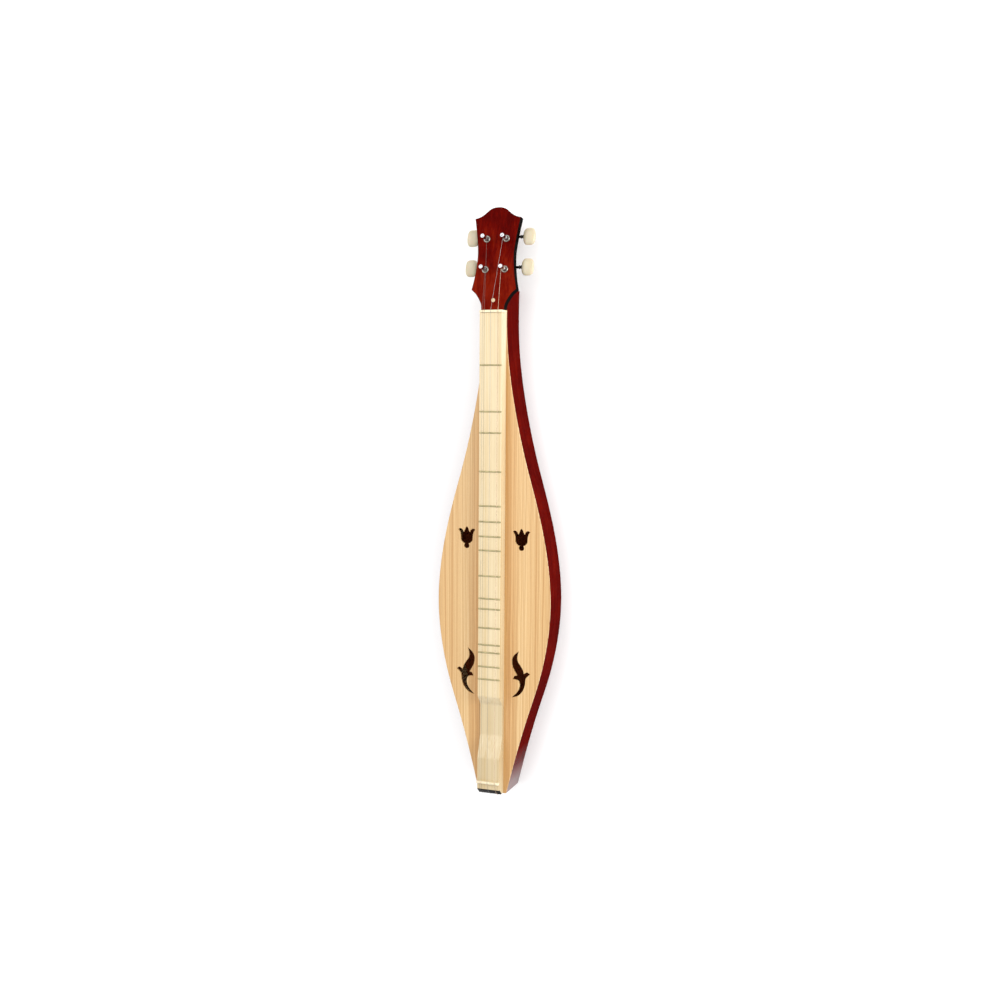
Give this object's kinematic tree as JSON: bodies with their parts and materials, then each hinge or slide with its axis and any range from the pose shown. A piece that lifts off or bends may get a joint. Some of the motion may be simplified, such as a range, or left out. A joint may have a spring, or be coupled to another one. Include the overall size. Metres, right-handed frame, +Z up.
{
  "type": "mountain dulcimer",
  "caption": "Teardrop lap dulcimer with a raised fretted fingerboard, strum hollow, guitar-style headstock and geared tuners that turn their string posts.",
  "frame": {"origin": "under the middle of the footprint, in the plane of the back plate's underside", "axes": "+X across the body to the player's bass side, +Y from the tail towards the headstock, +Z up through the soundboard to the strings"},
  "size_m": [0.1786, 0.8818, 0.0789],
  "materials": {
    "soundboard_wood": "satin lacquer over straight-grained cedar or spruce",
    "fretboard_wood": "satin lacquer over pale maple or spruce",
    "red_wood": "gloss lacquer over dark red stained mahogany",
    "block_wood": "bare mahogany",
    "brace_wood": "bare spruce",
    "dowel_wood": "maple end grain under lacquer",
    "black_wood": "oiled ebony",
    "bone": "polished bone",
    "button_plastic": "smooth cream plastic",
    "plated_metal": "bright nickel plate",
    "shaft_steel": "turned steel",
    "brass": "polished",
    "fret_wire": "polished nickel silver",
    "steel_string": "plain drawn wire",
    "bronze_string": "phosphor bronze winding"
  },
  "bodies": {
    "instrument": {"soundboard_left": "soundboard_wood", "side_left": "red_wood", "tuner_plate_left": "plated_metal", "soundboard_right": "soundboard_wood", "side_right": "red_wood", "tuner_plate_right": "plated_metal", "back_plate": "red_wood", "tail_block": "block_wood", "head_block": "block_wood", "soundboard_brace_upper": "brace_wood", "soundboard_brace_lower": "brace_wood", "back_brace_upper": "brace_wood", "back_brace_middle": "brace_wood", "back_brace_lower": "brace_wood", "tail_pin_melody_outer": "brass", "tail_pin_melody_inner": "brass", "tail_pin_middle": "brass", "tail_pin_bass": "brass", "fretboard": "fretboard_wood", "fret_01": "fret_wire", "fret_02": "fret_wire", "fret_03": "fret_wire", "fret_04": "fret_wire", "fret_05": "fret_wire", "fret_06": "fret_wire", "fret_06_half": "fret_wire", "fret_07": "fret_wire", "fret_08": "fret_wire", "fret_09": "fret_wire", "fret_10": "fret_wire", "fret_11": "fret_wire", "fret_12": "fret_wire", "fret_13": "fret_wire", "fret_14": "fret_wire", "fret_15": "fret_wire", "nut": "bone", "bridge": "bone", "tail_saddle": "black_wood", "headstock": "red_wood", "headstock_dowel": "dowel_wood", "post_bushing_lower_left": "plated_metal", "post_bushing_upper_left": "plated_metal", "post_bushing_lower_right": "plated_metal", "post_bushing_upper_right": "plated_metal", "string_melody_outer": "steel_string", "string_melody_inner": "steel_string", "string_middle": "steel_string", "string_bass": "bronze_string"},
    "peg_lower_left": {"worm_shaft_lower_left": "shaft_steel", "tuner_button_lower_left": "button_plastic"},
    "post_lower_left": {"string_post_lower_left": "plated_metal"},
    "peg_upper_left": {"worm_shaft_upper_left": "shaft_steel", "tuner_button_upper_left": "button_plastic"},
    "post_upper_left": {"string_post_upper_left": "plated_metal"},
    "peg_lower_right": {"worm_shaft_lower_right": "shaft_steel", "tuner_button_lower_right": "button_plastic"},
    "post_lower_right": {"string_post_lower_right": "plated_metal"},
    "peg_upper_right": {"worm_shaft_upper_right": "shaft_steel", "tuner_button_upper_right": "button_plastic"},
    "post_upper_right": {"string_post_upper_right": "plated_metal"}
  },
  "joints": [
    {"name": "turn_peg_lower_left", "type": "hinge", "parent": "instrument", "child": "peg_lower_left", "pos_m": [-0.0152, 0.3532, 0.03933], "axis": [1, 0, 0], "continuous": true},
    {"name": "turn_post_lower_left", "type": "hinge", "parent": "instrument", "child": "post_lower_left", "pos_m": [-0.0152, 0.34903, 0.05866], "axis": [0, 0.1488, 0.9889], "continuous": true},
    {"name": "turn_peg_upper_left", "type": "hinge", "parent": "instrument", "child": "peg_upper_left", "pos_m": [-0.0152, 0.3982, 0.03256], "axis": [1, 0, 0], "continuous": true},
    {"name": "turn_post_upper_left", "type": "hinge", "parent": "instrument", "child": "post_upper_left", "pos_m": [-0.0152, 0.39403, 0.05189], "axis": [0, 0.1488, 0.9889], "continuous": true},
    {"name": "turn_peg_lower_right", "type": "hinge", "parent": "instrument", "child": "peg_lower_right", "pos_m": [0.0152, 0.3532, 0.03933], "axis": [1, 0, 0], "continuous": true},
    {"name": "turn_post_lower_right", "type": "hinge", "parent": "instrument", "child": "post_lower_right", "pos_m": [0.0152, 0.34903, 0.05866], "axis": [0, 0.1488, 0.9889], "continuous": true},
    {"name": "turn_peg_upper_right", "type": "hinge", "parent": "instrument", "child": "peg_upper_right", "pos_m": [0.0152, 0.3982, 0.03256], "axis": [1, 0, 0], "continuous": true},
    {"name": "turn_post_upper_right", "type": "hinge", "parent": "instrument", "child": "post_upper_right", "pos_m": [0.0152, 0.39403, 0.05189], "axis": [0, 0.1488, 0.9889], "continuous": true}
  ],
  "couplings": [
    {"joint": "turn_post_lower_left", "follows": "turn_peg_lower_left", "ratio": -0.071429},
    {"joint": "turn_post_upper_left", "follows": "turn_peg_upper_left", "ratio": -0.071429},
    {"joint": "turn_post_lower_right", "follows": "turn_peg_lower_right", "ratio": 0.071429},
    {"joint": "turn_post_upper_right", "follows": "turn_peg_upper_right", "ratio": 0.071429}
  ]
}
